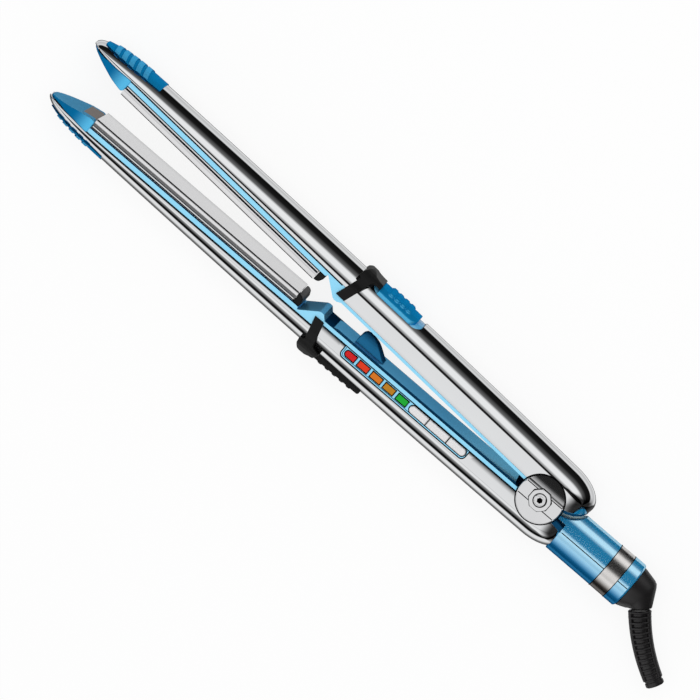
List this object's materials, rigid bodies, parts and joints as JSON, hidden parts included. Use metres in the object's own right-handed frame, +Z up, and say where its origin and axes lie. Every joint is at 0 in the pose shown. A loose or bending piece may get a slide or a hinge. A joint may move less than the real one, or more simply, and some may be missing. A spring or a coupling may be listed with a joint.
{
  "type": "hair straightener",
  "caption": "Hair straightener with two hinged steel-clad arms, floating heated plates, side keys, indicator lamps and a swivelling cord sleeve.",
  "frame": {"origin": "on the hinge axis, in the plane that the straightener lies on when it rests on its side", "axes": "+X along the control arm to its tip, +Y from the plate face out through the control arm, +Z up along the hinge pin"},
  "size_m": [0.3853, 0.0675, 0.0386],
  "materials": {
    "polished_steel": "mirror polished",
    "pale_blue_plastic": "moulded gloss",
    "deep_blue_plastic": "moulded gloss",
    "blue_silicone": "satin silicone",
    "navy_plastic": "moulded gloss",
    "satin_blue": "metallic satin lacquer",
    "black_plastic": "moulded, matt",
    "black_rubber": "moulded rubber",
    "titanium_plate": "fine ground",
    "cast_carrier": "die cast",
    "ceramic": "sintered",
    "spring_steel": "cold rolled",
    "bright_steel": "bright turned",
    "lamp_red": "tinted lens",
    "lamp_orange_red": "tinted lens",
    "lamp_orange": "tinted lens",
    "lamp_amber": "tinted lens",
    "lamp_green": "tinted lens",
    "board_green": "lacquered laminate",
    "led_white": "moulded",
    "key_silver": "metallised",
    "wire_red": "silicone insulation",
    "brass": "turned"
  },
  "bodies": {
    "control_arm": {"lower_shell": "polished_steel", "lower_liner": "pale_blue_plastic", "lower_cool_tip": "deep_blue_plastic", "lower_tip_grip": "blue_silicone", "lower_plate_stop": "black_plastic", "lower_collar": "black_plastic", "alignment_fin": "navy_plastic", "control_bezel": "pale_blue_plastic", "lamp_red": "lamp_red", "lamp_orange_red": "lamp_orange_red", "lamp_orange": "lamp_orange", "lamp_amber": "lamp_amber", "lamp_green": "lamp_green", "circuit_board": "board_green", "indicator_leds": "led_white", "key_switches": "black_plastic", "mains_wires": "wire_red", "tail_upper_half": "satin_blue", "tail_lower_half": "satin_blue", "tail_ring": "polished_steel", "tail_end_ring": "satin_blue", "swivel_socket": "black_plastic", "hinge_pin": "bright_steel", "hinge_cap_front": "bright_steel", "hinge_cap_back": "bright_steel", "hinge_nut": "bright_steel", "hinge_screw": "bright_steel", "hinge_spring": "spring_steel", "lower_plate_springs": "spring_steel"},
    "lower_plate_unit": {"lower_plate": "titanium_plate", "lower_plate_carrier": "cast_carrier", "lower_heater": "ceramic"},
    "free_arm": {"upper_shell": "polished_steel", "upper_liner": "pale_blue_plastic", "upper_cool_tip": "deep_blue_plastic", "upper_tip_grip": "blue_silicone", "upper_plate_stop": "black_plastic", "upper_collar": "black_plastic", "thumb_pad": "blue_silicone", "pad_tray": "pale_blue_plastic", "upper_plate_springs": "spring_steel"},
    "upper_plate_unit": {"upper_plate": "titanium_plate", "upper_plate_carrier": "cast_carrier", "upper_heater": "ceramic"},
    "power_key_body": {"power_key": "key_silver"},
    "plus_key_body": {"plus_key": "key_silver"},
    "minus_key_body": {"minus_key": "key_silver"},
    "cord_swivel_body": {"swivel_core": "brass", "cord_boot": "black_rubber", "strain_relief": "black_rubber"}
  },
  "joints": [
    {"name": "arm_hinge", "type": "hinge", "parent": "control_arm", "child": "free_arm", "pos_m": [0, 0, 0.018], "axis": [0, 0, 1], "range_deg": [0, 3.3], "stiffness_Nm_per_rad": 2, "springref_deg": -8.59, "deforming": ["hinge_spring"]},
    {"name": "lower_plate_float", "type": "slide", "parent": "control_arm", "child": "lower_plate_unit", "axis": [0, 1, 0], "range_m": [0, 0.0008], "stiffness_N_per_m": 4000, "springref_m": -0.001, "deforming": ["lower_plate_springs"]},
    {"name": "upper_plate_float", "type": "slide", "parent": "free_arm", "child": "upper_plate_unit", "axis": [-0.0576, -0.9983, 0], "range_m": [0, 0.0008], "stiffness_N_per_m": 4000, "springref_m": -0.001, "deforming": ["upper_plate_springs"]},
    {"name": "power_key_press", "type": "slide", "parent": "control_arm", "child": "power_key_body", "axis": [0, 0, -1], "range_m": [0, 0.0006], "stiffness_N_per_m": 800, "springref_m": -0.0006},
    {"name": "plus_key_press", "type": "slide", "parent": "control_arm", "child": "plus_key_body", "axis": [0, 0, -1], "range_m": [0, 0.0006], "stiffness_N_per_m": 800, "springref_m": -0.0006},
    {"name": "minus_key_press", "type": "slide", "parent": "control_arm", "child": "minus_key_body", "axis": [0, 0, -1], "range_m": [0, 0.0006], "stiffness_N_per_m": 800, "springref_m": -0.0006},
    {"name": "cord_swivel", "type": "hinge", "parent": "control_arm", "child": "cord_swivel_body", "pos_m": [-0.0575, 0.0061, 0.018], "axis": [1, 0, 0], "continuous": true}
  ]
}
